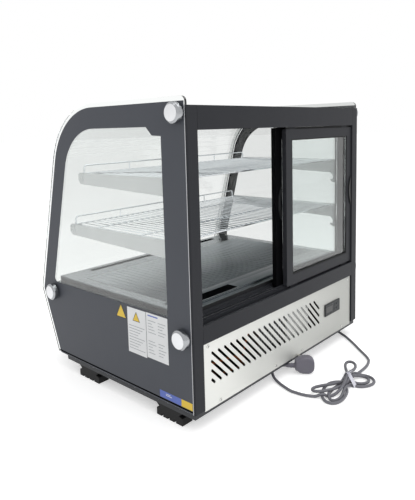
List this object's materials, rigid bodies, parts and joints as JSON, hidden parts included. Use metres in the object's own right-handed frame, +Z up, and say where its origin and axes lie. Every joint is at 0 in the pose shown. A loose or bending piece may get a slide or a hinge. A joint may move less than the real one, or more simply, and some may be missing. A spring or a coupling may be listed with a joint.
{
  "type": "refrigerated bakery display case",
  "caption": "Countertop refrigerated display case: curved glass front, glass sides, wire shelves, sliding rear doors, base with vented steel service panel, mains cord and plug.",
  "frame": {"origin": "on the floor under the middle of the case's box", "axes": "+Z up, +Y towards the staff's side with the sliding doors, -Y towards the customer, +X to the left as seen by the staff"},
  "size_m": [0.738, 0.761, 0.687],
  "materials": {
    "glass": "clear float glass, enamel printed border on the side panes",
    "frame_black": "satin black powder coat",
    "body_black": "satin black paint",
    "stainless": "polished stainless",
    "chrome": "bright chrome plate",
    "sheet_metal": "galvanised sheet",
    "white_paint": "light grey powder coat",
    "black_plastic": "moulded",
    "grey_plastic": "moulded",
    "white_plastic": "moulded",
    "rubber": "moulded, matt",
    "liner": "vacuum formed, foam backed",
    "fins": "pressed fins",
    "compressor_black": "black enamel",
    "cord_sheath": "grey PVC sheath"
  },
  "bodies": {
    "root": {"base_pan": "sheet_metal", "compressor": "compressor_black", "condenser": "fins", "condenser_fan_frame": "black_plastic", "controller_case": "grey_plastic", "controller_display": "black_plastic", "cord_gland": "black_plastic", "cord_hank": "cord_sheath", "cord_lead": "cord_sheath", "cord_tail": "cord_sheath", "deck_tray": "sheet_metal", "electrical_box": "white_plastic", "evaporator": "fins", "evaporator_fan_frame": "black_plastic", "foot_front_left": "rubber", "foot_front_right": "rubber", "foot_rear_left": "rubber", "foot_rear_right": "rubber", "front_glass": "glass", "front_lower_panel": "body_black", "glass_knob_low_front_left": "chrome", "glass_knob_low_front_right": "chrome", "glass_knob_low_rear_left": "chrome", "glass_knob_low_rear_right": "chrome", "glass_knob_top_rear_left": "chrome", "glass_knob_top_rear_right": "chrome", "insulated_tub": "liner", "led_lamp": "white_plastic", "lower_bracket_left": "white_paint", "lower_bracket_right": "white_paint", "lower_shelf": "chrome", "plug": "grey_plastic", "rear_header": "frame_black", "rear_post_left": "frame_black", "rear_post_right": "frame_black", "rear_sill": "frame_black", "rear_steel_panel": "stainless", "return_grille": "black_plastic", "shelf_upright_left": "white_paint", "shelf_upright_right": "white_paint", "side_glass_left": "glass", "side_glass_right": "glass", "side_sheet_left": "body_black", "side_sheet_right": "body_black", "upper_bracket_left": "white_paint", "upper_bracket_right": "white_paint", "upper_shelf": "chrome"},
    "outer_door": {"outer_door_frame": "frame_black", "outer_door_pane": "glass", "outer_door_pull": "black_plastic"},
    "inner_door": {"inner_door_frame": "frame_black", "inner_door_pane": "glass", "inner_door_pull": "black_plastic"},
    "condenser_rotor": {"condenser_fan_rotor": "grey_plastic"},
    "evaporator_rotor": {"evaporator_fan_rotor": "grey_plastic"},
    "key_1": {"controller_key_1": "grey_plastic"},
    "key_2": {"controller_key_2": "grey_plastic"},
    "key_3": {"controller_key_3": "grey_plastic"},
    "key_4": {"controller_key_4": "grey_plastic"}
  },
  "joints": [
    {"name": "outer_door_slide", "type": "slide", "parent": "root", "child": "outer_door", "axis": [1, 0, 0], "range_m": [0, 0.311]},
    {"name": "inner_door_slide", "type": "slide", "parent": "root", "child": "inner_door", "axis": [1, 0, 0], "range_m": [-0.019, 0.292]},
    {"name": "condenser_fan_spin", "type": "hinge", "parent": "root", "child": "condenser_rotor", "pos_m": [0.06, 0.2225, 0.0898], "axis": [0, 1, 0], "continuous": true},
    {"name": "evaporator_fan_spin", "type": "hinge", "parent": "root", "child": "evaporator_rotor", "pos_m": [0.16, -0.11, 0.1413], "axis": [0, 1, 0], "continuous": true},
    {"name": "key_1_press", "type": "slide", "parent": "root", "child": "key_1", "axis": [0, -1, 0], "range_m": [0, 0.001], "stiffness_N_per_m": 400},
    {"name": "key_2_press", "type": "slide", "parent": "root", "child": "key_2", "axis": [0, -1, 0], "range_m": [0, 0.001], "stiffness_N_per_m": 400},
    {"name": "key_3_press", "type": "slide", "parent": "root", "child": "key_3", "axis": [0, -1, 0], "range_m": [0, 0.001], "stiffness_N_per_m": 400},
    {"name": "key_4_press", "type": "slide", "parent": "root", "child": "key_4", "axis": [0, -1, 0], "range_m": [0, 0.001], "stiffness_N_per_m": 400}
  ]
}
